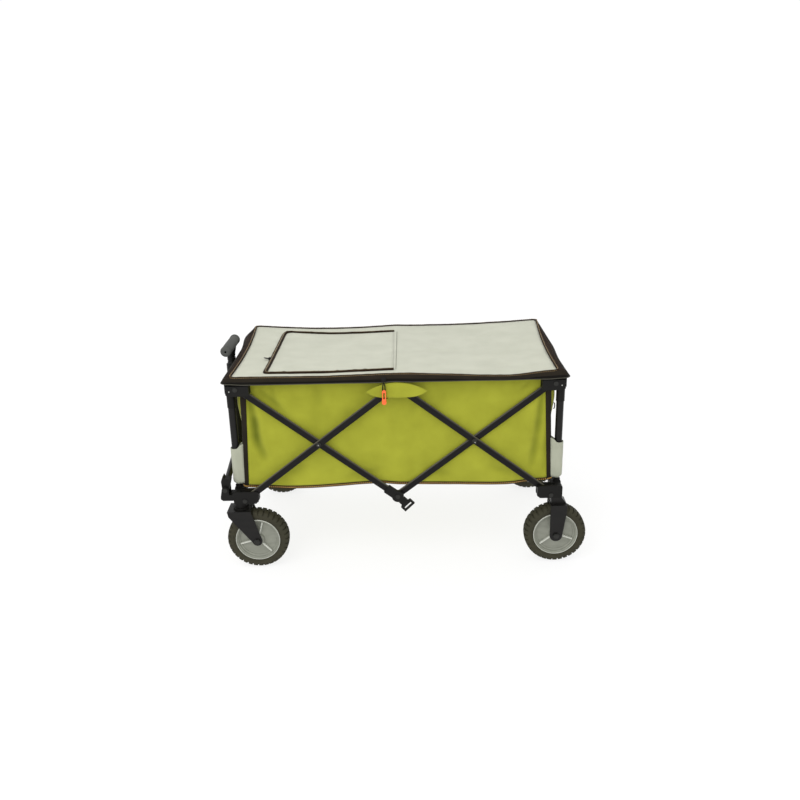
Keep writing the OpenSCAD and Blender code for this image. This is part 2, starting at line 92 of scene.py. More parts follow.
def place(x, y, z):
    return ((x + MIDDLE) / 1000, y / 1000, z / 1000)


def centre_of(name):
    low, high = node_box(name)
    return ((low.x + high.x) / 2 - MIDDLE, (low.y + high.y) / 2, (low.z + high.z) / 2)


def clamp(value):
    return max(0.0, min(1.0, value))


def smooth(t):
    t = clamp(t)
    return t * t * (3 - 2 * t)


def wave(x, y, z, size, seed=0.0):
    """Smooth noise from -1 to 1 whose bumps are about size millimetres across."""
    return noise.noise(Vector((x / size + seed, y / size - 2 * seed, z / size + 3.7 * seed)))


# ---- materials ----

def srgb(red, green, blue):
    def linear(c):
        c = c / 255
        return c / 12.92 if c <= 0.04045 else ((c + 0.055) / 1.055) ** 2.4
    return (linear(red), linear(green), linear(blue), 1.0)


class Shader:
    """A Principled material and short calls that add nodes to it."""

    def __init__(self, name, roughness, **sockets):
        self.material = bpy.data.materials.new(name)
        self.material.use_nodes = True
        self.nodes = self.material.node_tree.nodes
        self.links = self.material.node_tree.links
        self.main = self.nodes["Principled BSDF"]
        self.main.inputs["Roughness"].default_value = roughness
        for socket, value in sockets.items():
            self.main.inputs[socket.replace("_", " ")].default_value = value
        self.coords = self.nodes.new("ShaderNodeTexCoord")

    def math(self, operation, a, b=0.0, c=0.0):
        node = self.nodes.new("ShaderNodeMath")
        node.operation = operation
        self._fill(node, (a, b, c))
        return node.outputs[0]

    def vector(self, operation, a, b=(0, 0, 0)):
        node = self.nodes.new("ShaderNodeVectorMath")
        node.operation = operation
        self._fill(node, (a, b))
        return node.outputs["Value" if operation == "DOT_PRODUCT" else "Vector"]

    def _fill(self, node, values):
        for socket, value in zip(node.inputs, values):
            if isinstance(value, bpy.types.NodeSocket):
                self.links.new(value, socket)
            else:
                socket.default_value = value

    def noise(self, scale, detail=2.0, stretch=(1, 1, 1)):
        node = self.nodes.new("ShaderNodeTexNoise")
        node.inputs["Scale"].default_value = scale
        node.inputs["Detail"].default_value = detail
        self.links.new(self.vector("MULTIPLY", self.coords.outputs["Object"], stretch), node.inputs["Vector"])
        return node.outputs["Fac"]

    def swizzle(self, vector, order):
        split = self.nodes.new("ShaderNodeSeparateXYZ")
        joined = self.nodes.new("ShaderNodeCombineXYZ")
        self.links.new(vector, split.inputs[0])
        for target, source in enumerate(order):
            self.links.new(split.outputs[source], joined.inputs[target])
        return joined.outputs[0]

    def weave(self, pitch):
        """A plain weave on any face: a product of two waves in the face's plane, -1 to 1."""
        turn = math.pi * 1000 / pitch
        waves = self.vector("SINE", self.vector("MULTIPLY", self.coords.outputs["Object"], (turn,) * 3))
        crossed = self.vector("MULTIPLY", self.swizzle(waves, (1, 2, 0)), self.swizzle(waves, (2, 0, 1)))
        normal = self.coords.outputs["Normal"]
        return self.vector("DOT_PRODUCT", crossed, self.vector("MULTIPLY", normal, normal))

    def colour(self, share, dark, light):
        node = self.nodes.new("ShaderNodeMix")
        node.data_type = "RGBA"
        self.links.new(share, node.inputs["Factor"])
        node.inputs["A"].default_value = srgb(*dark)
        node.inputs["B"].default_value = srgb(*light)
        self.links.new(node.outputs["Result"], self.main.inputs["Base Color"])

    def deepen(self, share, other):
        """Blends the colour made so far towards another one."""
        before = self.main.inputs["Base Color"].links[0].from_socket
        self.colour(share, other, other)
        self.links.new(before, self.main.inputs["Base Color"].links[0].from_node.inputs["A"])

    def bump(self, height, strength, distance):
        node = self.nodes.new("ShaderNodeBump")
        node.inputs["Strength"].default_value = strength
        node.inputs["Distance"].default_value = distance
        self.links.new(height, node.inputs["Height"])
        self.links.new(node.outputs["Normal"], self.main.inputs["Normal"])


def fabric(name, dark, light, pitch=1.3, strength=0.5, sheen=0.02, fold=None):
    """Woven cloth; fold is a darker colour blended in where a mesh's "shade" attribute rises: painted shade
    in the cloth's creases.
    """
    shader = Shader(name, 0.85, Sheen_Weight=sheen, Sheen_Roughness=0.5, Specular_IOR_Level=0.1 + sheen)
    weave = shader.weave(pitch)
    blotches = shader.noise(14, 3)
    fibres = shader.noise(900, 2)
    share = shader.math("MULTIPLY_ADD", weave, 0.18, blotches)
    shader.colour(shader.math("MULTIPLY_ADD", fibres, 0.3, shader.math("SUBTRACT", share, 0.15)), dark, light)
    # painted shade: the cloth darkens towards fold as the shade attribute rises
    if fold:
        depth = shader.nodes.new("ShaderNodeAttribute")
        depth.attribute_name = "shade"
        shader.deepen(depth.outputs["Fac"], fold)
    shader.bump(shader.math("MULTIPLY_ADD", fibres, 0.6, weave), strength, pitch / 4000)
    return shader.material


def hard(name, dark, light, roughness, grain=700, strength=0.25, upper=None, **sockets):
    """Moulded plastic, rubber, paint or metal with a fine grain and faint scuffs.

    upper is a painted highlight: faces that look up are blended towards this paler colour, for the light they
    catch from above.
    """
    shader = Shader(name, roughness, **sockets)
    scuffs = shader.noise(35, 4, (1, 1, 2.5))
    fine = shader.noise(grain, 2)
    shader.colour(scuffs, dark, light)
    # painted highlight: faces that look up blend towards the paler upper colour
    if upper:
        tilt = shader.vector("DOT_PRODUCT", shader.coords.outputs["Normal"], (0, 0, 1))
        shader.deepen(shader.math("MULTIPLY", tilt, 1.1), upper)
    worn = shader.math("MULTIPLY_ADD", scuffs, 0.3, roughness - 0.15)
    shader.links.new(worn, shader.main.inputs["Roughness"])
    shader.bump(fine, strength, 0.0002)
    return shader.material


# the scissor bars' last colour, (92, 89, 76), is a painted highlight on their upper faces
BAR = hard("bar_coat_painted_highlight", (9, 8, 8), (20, 18, 18), 0.4, 900, 0.2, (92, 89, 76), Specular_IOR_Level=0.14)
PAINT = hard("powder_coat", (12, 11, 11), (25, 24, 22), 0.4, 900, 0.2, Specular_IOR_Level=0.2)
PLASTIC = hard("black_moulding", (8, 8, 7), (20, 19, 17), 0.5, 1200, 0.3, Specular_IOR_Level=0.16)
TUBE = hard("handle_tube", (14, 14, 13), (30, 30, 28), 0.34, 500, 0.1, Specular_IOR_Level=0.2)
STEEL = hard("dark_steel", (22, 22, 20), (50, 50, 47), 0.34, 800, 0.15, Metallic=0.6)
BRIGHT = hard("bright_screw", (130, 130, 125), (190, 190, 184), 0.3, 800, 0.1, Metallic=0.7)
RUBBER = hard("tyre_rubber_look", (38, 37, 27), (60, 58, 44), 0.8, 500, 0.4, Specular_IOR_Level=0.2)
HUB = hard("hub_moulding", (106, 108, 97), (136, 138, 126), 0.5, 900, 0.2)
# painted highlight: a paler copy of the hub moulding, for the light the hub's lip ring and ribs catch
HUB_PAINTED_HIGHLIGHT = hard("hub_painted_highlight", (160, 162, 152), (196, 198, 188), 0.45, 900, 0.2)
GRIP = hard("grip_foam", (56, 57, 55), (88, 89, 85), 0.75, 1500, 0.6, Specular_IOR_Level=0.25)
ORANGE = hard("orange_rubber", (214, 80, 22), (242, 116, 50), 0.5, 900, 0.2)
# the lime cloth's last colour, (92, 99, 8), is painted shade for its creases
LIME = fabric("lime_oxford", (124, 127, 26), (162, 164, 48), 1.4, 0.5, 0.12, (92, 99, 8))
LIGHT = fabric("pale_canvas", (174, 176, 159), (198, 199, 183), 1.5, 0.5, 0.12)
SLEEVE = fabric("sleeve_canvas", (142, 145, 127), (168, 170, 153), 1.5, 0.5, 0.12)
BINDING = fabric("binding_tape", (18, 15, 10), (42, 36, 27), 1.2, 0.6)
BLACK = fabric("black_band", (8, 7, 5), (22, 19, 14), 1.2, 0.6)
# painted highlight: the grey of the piping cord on the black rim stands for the light along the rim's lower
# edge
PIPING_PAINTED_HIGHLIGHT = fabric("piping_painted_highlight", (52, 51, 44), (80, 78, 69), 1.0, 0.5)
# stitch thread; on the hatch's hinge its darker grey line is also painted shade along the seam
STITCH_AND_SEAM_SHADE = fabric("stitch_thread_and_seam_shade", (112, 112, 100), (146, 146, 135), 1.0, 0.5)
ZIP_TAPE = fabric("zip_tape", (20, 13, 8), (48, 33, 20), 1.0, 0.7)
# painted sheen: the pale olive of the raised coil along the top of the hatch zip's tape
ZIP_PAINTED_SHEEN = fabric("zip_painted_sheen", (36, 34, 20), (78, 72, 48), 1.0, 0.6)
TOOTH = hard("zip_tooth", (98, 80, 50), (150, 126, 86), 0.45, 900, 0.1)
HEM_TOOTH = hard("hem_zip_tooth", (140, 104, 44), (196, 156, 84), 0.45, 900, 0.1)
CORD = fabric("cord_braid", (14, 14, 12), (30, 29, 26), 0.8, 0.8)

SLOT_LOOKS = {
    "frame_paint": PAINT, "black_plastic": PLASTIC, "handle_metal": TUBE, "pin_steel": STEEL,
    "tyre_rubber": RUBBER, "hub_plastic": HUB, "lime_fabric": LIME, "grey_fabric": LIGHT,
    "black_fabric": BLACK, "black_cord": CORD, "orange_plastic": ORANGE, "grip_rubber": GRIP,
}
SLOT_OF = {part["node"]: part["material_slot"] for part in frame["record"]["subparts"]}
for node_name, part in frame["nodes"].items():
    part.data.materials.clear()
    part.data.materials.append(BAR if node_name.startswith("scissor") else SLOT_LOOKS[SLOT_OF[node_name]])
    if SLOT_OF[node_name] in ("frame_paint", "black_plastic", "pin_steel"):
        edges = part.modifiers.new("edges", "BEVEL")
        edges.width = 0.0007
        edges.segments = 2
        edges.limit_method = "ANGLE"
        edges.angle_limit = math.radians(40)


# ---- building meshes ----

def add_mesh(name, points, faces, look, soft_shading=True):
    mesh = bpy.data.meshes.new(name)
    mesh.from_pydata([place(*p) for p in points], [], faces)
    mesh.validate()
    mesh.polygons.foreach_set("use_smooth", [soft_shading] * len(mesh.polygons))
    mesh.materials.append(look)
    piece = bpy.data.objects.new(name, mesh)
    scene.collection.objects.link(piece)
    return piece


def grid(name, rows, columns, point, look, wrap_rows=False, wrap_columns=False, keep=None):
    """A net of quads through point(row, column); keep(row, column) false leaves a quad out."""
    faces = []
    for i in range(rows if wrap_rows else rows - 1):
        for j in range(columns if wrap_columns else columns - 1):
            if keep and not keep(i, j):
                continue
            i2 = (i + 1) % rows
            j2 = (j + 1) % columns
            faces.append((i * columns + j, i * columns + j2, i2 * columns + j2, i2 * columns + j))
    used = sorted({v for face in faces for v in face})
    number = {old: new for new, old in enumerate(used)}
    points = [point(v // columns, v % columns) for v in used]
    return add_mesh(name, points, [tuple(number[v] for v in face) for face in faces], look)


def apply_modifiers(piece):
    bpy.context.view_layer.update()
    solid = bpy.data.meshes.new_from_object(piece.evaluated_get(bpy.context.evaluated_depsgraph_get()))
    piece.modifiers.clear()
    piece.data = solid
    return piece


def thicken(piece, thickness, outward=1):
    """Gives a sheet its thickness; outward 1 or -1 says which way its faces look."""
    shell = piece.modifiers.new("cloth", "SOLIDIFY")
    shell.thickness = thickness / 1000
    shell.offset = -outward
    return apply_modifiers(piece)


def sharpen(piece, angle=35):
    piece.data.set_sharp_from_angle(angle=math.radians(angle))
    return piece


def sweep(name, path, sides, ups, section, look, closed=False):
    """Carries a closed section of (side, up) points along a path with its own side and up vectors."""
    def point(i, j):
        across, above = section(j)[i] if callable(section) else section[i]
        p = Vector(path[j]) + Vector(sides[j]) * across + Vector(ups[j]) * above
        return tuple(p)
    count = len(section(0) if callable(section) else section)
    piece = grid(name, count, len(path), point, look, wrap_rows=True, wrap_columns=closed)
    if not closed:
        close_ends(piece, count, len(path))
    return piece


def close_ends(piece, count, columns):
    """Caps the two open ends of a swept section."""
    old = piece.data
    points = [tuple(v.co) for v in old.vertices]
    faces = [tuple(p.vertices) for p in old.polygons]
    faces.append(tuple(i * columns for i in range(count)))
    faces.append(tuple(i * columns + columns - 1 for i in reversed(range(count))))
    mesh = bpy.data.meshes.new(piece.name)
    mesh.from_pydata(points, [], faces)
    mesh.polygons.foreach_set("use_smooth", [True] * len(mesh.polygons))
    mesh.materials.append(old.materials[0])
    piece.data = mesh


def circle(radius, sides=10, flat=1.0):
    return [(radius * math.cos(2 * math.pi * i / sides), flat * radius * math.sin(2 * math.pi * i / sides))
            for i in range(sides)]


def directions(path, closed=False):
    """Tangents along a path of points."""
    count = len(path)
    found = []
    for i in range(count):
        before = path[(i - 1) % count] if closed or i > 0 else path[i]
        after = path[(i + 1) % count] if closed or i < count - 1 else path[i]
        found.append((Vector(after) - Vector(before)).normalized())
    return found


def rod(name, path, radius, look, closed=False, sides=10):
    """A round bar or cord along a path."""
    tangents = directions(path, closed)
    side = tangents[0].orthogonal().normalized()
    lefts = []
    for t in tangents:
        side = (side - t * side.dot(t)).normalized()
        lefts.append(side)
    ups = [t.cross(s) for t, s in zip(tangents, lefts)]
    return sweep(name, path, lefts, ups, circle(radius, sides), look, closed)


def lathe(name, centre, profile, look, segments=96, axis="y", closed=False):
    """Turns a profile of (radius, along the axis) about an axis through centre."""
    def point(i, j):
        radius, along = profile[i]
        turn = 2 * math.pi * j / segments
        a, b = radius * math.cos(turn), radius * math.sin(turn)
        if axis == "y":
            return (centre[0] + a, centre[1] + along, centre[2] + b)
        return (centre[0] + a, centre[1] + b, centre[2] + along)
    piece = grid(name, len(profile), segments, point, look, wrap_rows=closed, wrap_columns=True)
    return sharpen(piece)


def bars(name, items, look, bevel=0.0):
    """Many small blocks as one piece: each item is (centre, half vector, half vector, half vector)."""
    points, faces = [], []
    for centre, a, b, c in items:
        start = len(points)
        centre, a, b, c = Vector(centre), Vector(a), Vector(b), Vector(c)
        for i in (-1, 1):
            for j in (-1, 1):
                for k in (-1, 1):
                    points.append(tuple(centre + a * i + b * j + c * k))
        for face in ((0, 1, 3, 2), (4, 6, 7, 5), (0, 4, 5, 1), (2, 3, 7, 6), (0, 2, 6, 4), (1, 5, 7, 3)):
            faces.append(tuple(start + v for v in face))
    piece = add_mesh(name, points, faces, look, bevel > 0)
    if bevel:
        round_edges(piece, bevel)
    return piece


def round_edges(piece, radius):
    bevel = piece.modifiers.new("edges", "BEVEL")
    bevel.width = radius / 1000
    bevel.segments = 2
    bevel.limit_method = "ANGLE"
    apply_modifiers(piece)
    return sharpen(piece, 50)


def cutout(name, outline, holes, thickness, to_place, look, bevel=0.6):
    """A flat shape with round edges, from an outline and holes in its own plane, stood up by to_place."""
    curve = bpy.data.curves.new(name, "CURVE")
    curve.dimensions = "2D"
    curve.fill_mode = "BOTH"
    for loop in [outline, *holes]:
        line = curve.splines.new("POLY")
        line.points.add(len(loop) - 1)
        for target, (a, b) in zip(line.points, loop):
            target.co = (a, b, 0, 1)
        line.use_cyclic_u = True
    curve.extrude = thickness / 2 - bevel
    curve.bevel_depth = bevel
    curve.bevel_resolution = 2
    curve.offset = -bevel
    drawn = bpy.data.objects.new(name, curve)
    scene.collection.objects.link(drawn)
    bpy.context.view_layer.update()
    mesh = bpy.data.meshes.new_from_object(drawn.evaluated_get(bpy.context.evaluated_depsgraph_get()))
    bpy.data.objects.remove(drawn)
    for vertex in mesh.vertices:
        vertex.co = place(*to_place(*vertex.co))
    mesh.polygons.foreach_set("use_smooth", [True] * len(mesh.polygons))
    mesh.materials.clear()
    mesh.materials.append(look)
    piece = bpy.data.objects.new(name, mesh)
    scene.collection.objects.link(piece)
    return sharpen(piece, 40)


def finish_piece(piece, body, slot, *nodes, folds=False):
    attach(piece, body)
    if nodes:
        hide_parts(*nodes)
    if folds:
        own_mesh(piece)
    return piece


def trim(piece, body="cover"):
    """Finishes a narrow black piece, such as a tape or a zip: hangs it on a body, the cover unless told
    otherwise, with its own copy of its mesh.
    """
    return finish_piece(piece, body, "black_fabric", folds=True)


# ---- outlines ----

def rounded_path(half_x, half_y, radius, step):
    """Points round a rounded rectangle, each with its outward direction: (x, y, out x, out y)."""
    centres = [(half_x - radius, radius - half_y), (half_x - radius, half_y - radius),
               (radius - half_x, half_y - radius), (radius - half_x, radius - half_y)]
    path = []
    for k, (cx, cy) in enumerate(centres):
        arc_steps = 6
        for i in range(arc_steps + 1):
            turn = math.radians(90 * (k - 1) + 90 * i / arc_steps)
            c, s = math.cos(turn), math.sin(turn)
            path.append((cx + radius * c, cy + radius * s, c, s))
        nx, ny, out_x, out_y = path[-1]
        fx, fy = centres[(k + 1) % 4]
        to_x, to_y = fx + radius * out_x, fy + radius * out_y
        count = max(1, round(math.hypot(to_x - nx, to_y - ny) / step))
        for i in range(1, count):
            path.append((nx + (to_x - nx) * i / count, ny + (to_y - ny) * i / count, out_x, out_y))
    return path


def front_edge(y):
    """Distance of the pale lid's front edge from the middle."""
    return 442 + 14 * ((y + 70) / 300) ** 2


def rear_edge(y):
    return 439 + 24 * ((y + 190) / 430) ** 2


def lid_plan(x, y):
    """The place on the pale lid's outline of a point on the rim's outline."""
    lid_y = y * LID_HALF_Y / RIM_Y - 1
    return x / RIM_X * (rear_edge(lid_y) if x > 0 else front_edge(lid_y)), lid_y


def through(stops, x):
    """A smooth line through stops of (x, height)."""
    for (a, low), (b, high) in zip(stops, stops[1:]):
        if x <= b:
            break
    return low + (high - low) * smooth((x - a) / (b - a))


NEAR_TOP = ((-450, 580), (-330, 580), (-200, 578.7), (0, 583), (300, 571.5), (450, 583))


def far_height(x):
    u = clamp(abs(x) / 450)
    if x < 0:
        return 586 + 6.6 * u - 9 * math.sin(math.pi * u)
    return 586 + 9.5 * u * u - 3 * math.sin(math.pi * u)


def top_z(x, y):
    """Height of the lid's upper face: it hangs between the ends and sags a little everywhere."""
    across = clamp((y + RIM_Y) / (2 * RIM_Y))
    u = clamp(abs(x) / 450)
    z = through(NEAR_TOP, x) * (1 - across) + far_height(x) * across
    z -= 3.5 * math.sin(math.pi * across) * math.sin(math.pi * u)
    return z + 0.9 * wave(x, y, 0, 75, 1.3)


def rim_bottom(x, y):
    corner = smooth((abs(x) - 410) / 50) * smooth((abs(y) - 200) / 60)
    return 560.5 + 3 * corner + 1.6 * wave(x, y, 0, 120, 4.1) + 2.5 * math.exp(-(x / 30) ** 2)


def rim_shift(x, y):
    """How far the rim's ends stand out from the straight frame: the padding bulges and slumps."""
    if x < 0:
        return -8 + 11 * math.exp(-((y - 140) / 75) ** 2)
    return -4 - 7 * smooth((-y - 20) / 150)


def rim_point(x, y, out_x, out_y, offset, z):
    """A point on the rim, whose top leans in at the ends while its lower edge stays out."""
    lean = (rim_shift(x, y) * smooth((z - 556) / 30) + 4.5 * smooth((576 - z) / 14)) * out_x ** 2
    return (x + out_x * (offset + lean), y + out_y * offset, z)


# ---- the tub's walls ----

def crease(a, b, start, end, width, depth):
    """Depth of a fold along a line from start to end, at the point (a, b) of a wall."""
    ax, az = start
    dx, dz = end[0] - ax, end[1] - az
    t = clamp(((a - ax) * dx + (b - az) * dz) / (dx * dx + dz * dz))
    gap = math.hypot(a - ax - t * dx, b - az - t * dz)
    return depth * math.exp(-(gap / width) ** 2) * math.sin(math.pi * clamp(0.15 + 0.75 * t))


SIDE_CREASES = (
    ((-408, 530), (-389, 430), 12, 8), ((-391, 446), (-385, 372), 11, 9), ((-386, 392), (-362, 320), 12, 6.5),
    ((-376, 536), (-304, 468), 10, 5), ((-345, 556), (-330, 500), 9, 3), ((404, 520), (389, 400), 10, 6.5),
    ((391, 420), (368, 285), 11, 6), ((412, 430), (405, 275), 6, 4), ((385, 556), (335, 512), 9, 3),
    ((-230, 556), (-200, 480), 18, 2.5), ((232, 556), (205, 480), 18, 2.5), ((-60, 540), (-20, 430), 20, 2.5),
    ((70, 530), (24, 420), 20, 2.5), ((-160, 262), (-40, 292), 15, 2.5), ((160, 262), (60, 294), 15, 2.5),
    ((-340, 270), (-250, 304), 15, 3), ((330, 262), (250, 298), 15, 3), ((-120, 350), (-40, 330), 26, 1.8),
)
END_CREASES = (
    ((-212, 545), (-120, 430), 16, 4), ((212, 545), (130, 420), 16, 4), ((-200, 262), (-80, 330), 14, 3),
    ((200, 262), (90, 320), 14, 3), ((-60, 556), (-40, 380), 20, 2.5), ((90, 556), (60, 400), 18, 2.5),
)


def wall_dent(x, y, out_x, out_y, z):
    """How far the fabric lies inside its flat wall; a fold's lip stands slightly proud."""
    seed = 2.0 if out_y < 0 else 5.5
    along = x if abs(out_y) > 0.5 else y
    folds = SIDE_CREASES if abs(out_y) > 0.5 else END_CREASES
    turned = -along if (out_y > 0.5 or out_x > 0.5) else along
    depth = sum(crease(turned, z, *fold) for fold in folds)
    depth += 1.5 * wave(x, y, z, 90, seed) + 0.5 * wave(x, y, z, 32, seed)
    return max(-1.0, depth)


def wall_point(x, y, out_x, out_y, z, out=0.0, flat=False):
    """A point of the wall's outer face at a height: its corners lean in upwards, its ends belly out."""
    pull = 17 - 16 * (z - TUB_LOW) / (FLANGE_Z - TUB_LOW)
    flare = pull if z < 400 else 9 + 10 * smooth((z - 400) / 100)
    bulge = (flare - pull) * smooth((WALL_Y - 10 - abs(y)) / 14)
    corner = smooth((abs(x) - WALL_X + 26) / 18) * smooth((abs(y) - WALL_Y + 26) / 18)
    proud = out if flat else out - wall_dent(x, y, out_x, out_y, z) * (1 - corner)
    spread = x * (1 + pull / WALL_X) + math.copysign(bulge, x) * out_x ** 2
    return (spread + out_x * proud, y + out_y * proud, z)


HEM = ((-430, 248.5), (-277, 242), (-42, 252.5), (20, 248), (290, 241.5), (400, 252), (430, 255))


def hem_z(x, y):
    """Height of the tub's lower edge, which hangs in uneven swags between its corners."""
    end_sag = 3 * (1 - (y / WALL_Y) ** 2) if abs(x) > WALL_X - 2 else 0
    return through(HEM, x) - end_sag + 0.5 * wave(x, y, 0, 40, 7)


wall_plan = rounded_path(WALL_X, WALL_Y, WALL_R, 6)
WALL_ROWS = 52


def wall_row_z(i, x, y):
    low = hem_z(x, y)
    return low + (FLANGE_Z - low) * i / (WALL_ROWS - 1)


def build_tub():
    def wall(i, j):
        x, y, out_x, out_y = wall_plan[j]
        return wall_point(x, y, out_x, out_y, wall_row_z(i, x, y))
    net = grid("tub_walls", WALL_ROWS, len(wall_plan), wall, LIME, wrap_columns=True)
    # painted shade: the shade attribute grows with how deep the cloth dents in, darkening the lime cloth in
    # its creases
    shade = net.data.attributes.new("shade", "FLOAT", "POINT")
    for i in range(WALL_ROWS):
        for j, (x, y, out_x, out_y) in enumerate(wall_plan):
            dent = wall_dent(x, y, out_x, out_y, wall_row_z(i, x, y))
            shade.data[i * len(wall_plan) + j].value = clamp((dent - 1.2) / 9)
    walls = thicken(net, 1.8)
    finish_piece(walls, "cover", "lime_fabric", "tub", folds=True)

    rows, columns = 34, 60

    def floor(i, j):
        y = -WALL_Y + 1 + 2 * (WALL_Y - 1) * i / (rows - 1)
        x = -WALL_X + 1 + 2 * (WALL_X - 1) * j / (columns - 1)
        rim = max(abs(x) / WALL_X, abs(y) / WALL_Y)
        inside = 1 - smooth((rim - 0.6) / 0.4)
        edge = hem_z(x, math.copysign(WALL_Y, y))
        z = edge * (1 - inside) + FLOOR_Z * inside + 0.8 * wave(x, y, 0, 70, 9) * inside
        return (x * (1 + 3 / WALL_X * rim), y, z)
    bottom = thicken(grid("tub_bottom", rows, columns, floor, LIME), 1.6, -1)
    finish_piece(bottom, "cover", "lime_fabric", folds=True)

    # flange under the rim
    shares = (0, 0.3, 0.7, 1)

    def flange(i, j):
        x, y, out_x, out_y = wall_plan[j]
        inner = Vector(wall_point(x, y, out_x, out_y, FLANGE_Z, flat=True))
        outer = Vector((x / WALL_X * (RIM_X - 14), y / WALL_Y * (RIM_Y - 4), FLANGE_Z + 1))
        p = inner.lerp(outer, shares[i])
        return (p.x, p.y, FLANGE_Z + 0.9 + 0.7 * smooth(shares[i]))

    brim = thicken(grid("tub_flange", len(shares), len(wall_plan), flange, BLACK, wrap_columns=True), 0.8)
    finish_piece(brim, "cover", "lime_fabric", folds=True)
    build_tub_tapes()


def tape_band(name, low_of, high_of, out, look):
    """A tape sewn round the tub between two heights."""
    def band(i, j):
        x, y, out_x, out_y = wall_plan[j]
        z = low_of(x, y) + (high_of(x, y) - low_of(x, y)) * i / 3
        proud = out * math.sin(math.pi * (0.15 + 0.7 * i / 3))
        return wall_point(x, y, out_x, out_y, z, proud)
    return thicken(grid(name, 4, len(wall_plan), band, look, wrap_columns=True), 1.2)


def build_tub_tapes():
    hem = tape_band("hem_tape", lambda x, y: hem_z(x, y) - 7, lambda x, y: hem_z(x, y) + 1.5, 1.3, ZIP_TAPE)
    trim(hem)

    # teeth of the zip that closes the folded bag, along the hem
    teeth = []
    fine = rounded_path(WALL_X, WALL_Y, WALL_R, 5.4)
    for j, (x, y, out_x, out_y) in enumerate(fine):
        z = hem_z(x, y) - 2.4 + 0.5 * wave(x, y, 0, 20, 3)
        centre = wall_point(x, y, out_x, out_y, z, 1.9)
        lengthwise = (-out_y * 1.3, out_x * 1.3, 0)
        teeth.append((centre, lengthwise, (out_x * 0.9, out_y * 0.9, 0), (0, 0, 1.5)))
    trim(bars("hem_teeth", teeth, HEM_TOOTH))
    stop = ((32, -WALL_Y - 0.6, 245.5), (11, 0, 0), (0, 1.2, 0), (0, 0, 3.4))
    trim(bars("hem_zip_stop", [stop], PLASTIC, 0.8))

    # bindings up the four corners
    binding_low = 248
    for end, sign_x in ENDS:
        for side, sign_y in SIDES:
            def strip(i, j, sx=sign_x, sy=sign_y):
                turn = math.radians(-12 + 114 * j / 10)
                c, s = math.cos(turn), math.sin(turn)
                x = sx * (WALL_X - WALL_R + WALL_R * c)
                y = sy * (WALL_Y - WALL_R + WALL_R * s)
                z = binding_low + (FLANGE_Z - binding_low) * i / 24
                lumps = 0.5 + 0.35 * wave(x, y, z, 22, 6)
                proud = lumps * math.sin(math.pi * (0.1 + 0.8 * j / 10))
                return wall_point(x, y, sx * max(0, c), sy * max(0, s), z, proud, flat=True)
            outward = sign_x * sign_y
            piece = thicken(grid(f"corner_binding_{end}_{side}", 25, 11, strip, BINDING), 1.4, -outward)
            trim(piece)
    # short loop of webbing on the rear wall, beside the near binding
    loop = [(441, -213, 474), (443.6, -214, 473), (444.4, -214, 466), (443.6, -214, 458), (441, -213, 457)]
    trim(rod("binding_loop", loop, 1.5, BLACK, sides=8))


# ---- rim, lid and hatch ----

rim_plan = rounded_path(RIM_X, RIM_Y, 16, 6)


